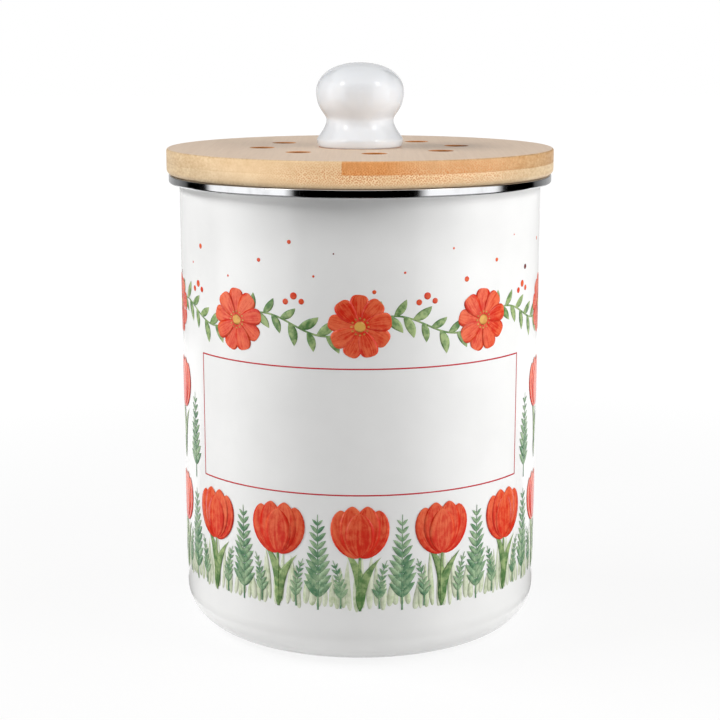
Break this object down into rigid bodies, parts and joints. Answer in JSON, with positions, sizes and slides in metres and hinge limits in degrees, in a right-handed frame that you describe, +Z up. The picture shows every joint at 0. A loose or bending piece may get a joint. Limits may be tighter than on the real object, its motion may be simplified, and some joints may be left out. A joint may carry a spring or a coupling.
{
  "type": "kitchen scraps caddy",
  "caption": "Round white enamelled steel food-scraps caddy with a rolled steel rim, a vented lift-off bamboo lid with a white ceramic knob, and a charcoal filter cage under the lid.",
  "frame": {"origin": "centre of the ring that the bin stands on, on the ground", "axes": "+Z up along the bin's axis, -Y towards the front that the picture shows, +X to the viewer's right"},
  "size_m": [0.171, 0.171, 0.2513],
  "materials": {
    "enamel": "gloss",
    "rim_steel": "polished",
    "bamboo_top": "satin",
    "bamboo_under": "satin",
    "glaze": "gloss",
    "seal_silicone": "matte",
    "insert_brass": "satin",
    "screw_steel": "satin",
    "cage_plastic": "matte",
    "charcoal_felt": "matte"
  },
  "bodies": {
    "bin": {"body_shell": "enamel", "rim_band": "rim_steel"},
    "lid": {"lid_upper_ply": "bamboo_top", "lid_lower_ply": "bamboo_under", "lid_plug": "bamboo_under", "lid_seal": "seal_silicone", "knob": "glaze", "knob_insert": "insert_brass", "knob_screw": "screw_steel", "knob_washer": "screw_steel", "filter_holder": "cage_plastic", "filter_holder_screws": "screw_steel"},
    "filter_cage": {"filter_cover": "cage_plastic", "filter_pad": "charcoal_felt"}
  },
  "joints": [
    {"name": "lid_lift", "type": "slide", "parent": "bin", "child": "lid", "axis": [0, 0, 1], "range_m": [0, 0.15]},
    {"name": "filter_cover_pull", "type": "slide", "parent": "lid", "child": "filter_cage", "axis": [0, 0, -1], "range_m": [0, 0.03]}
  ]
}
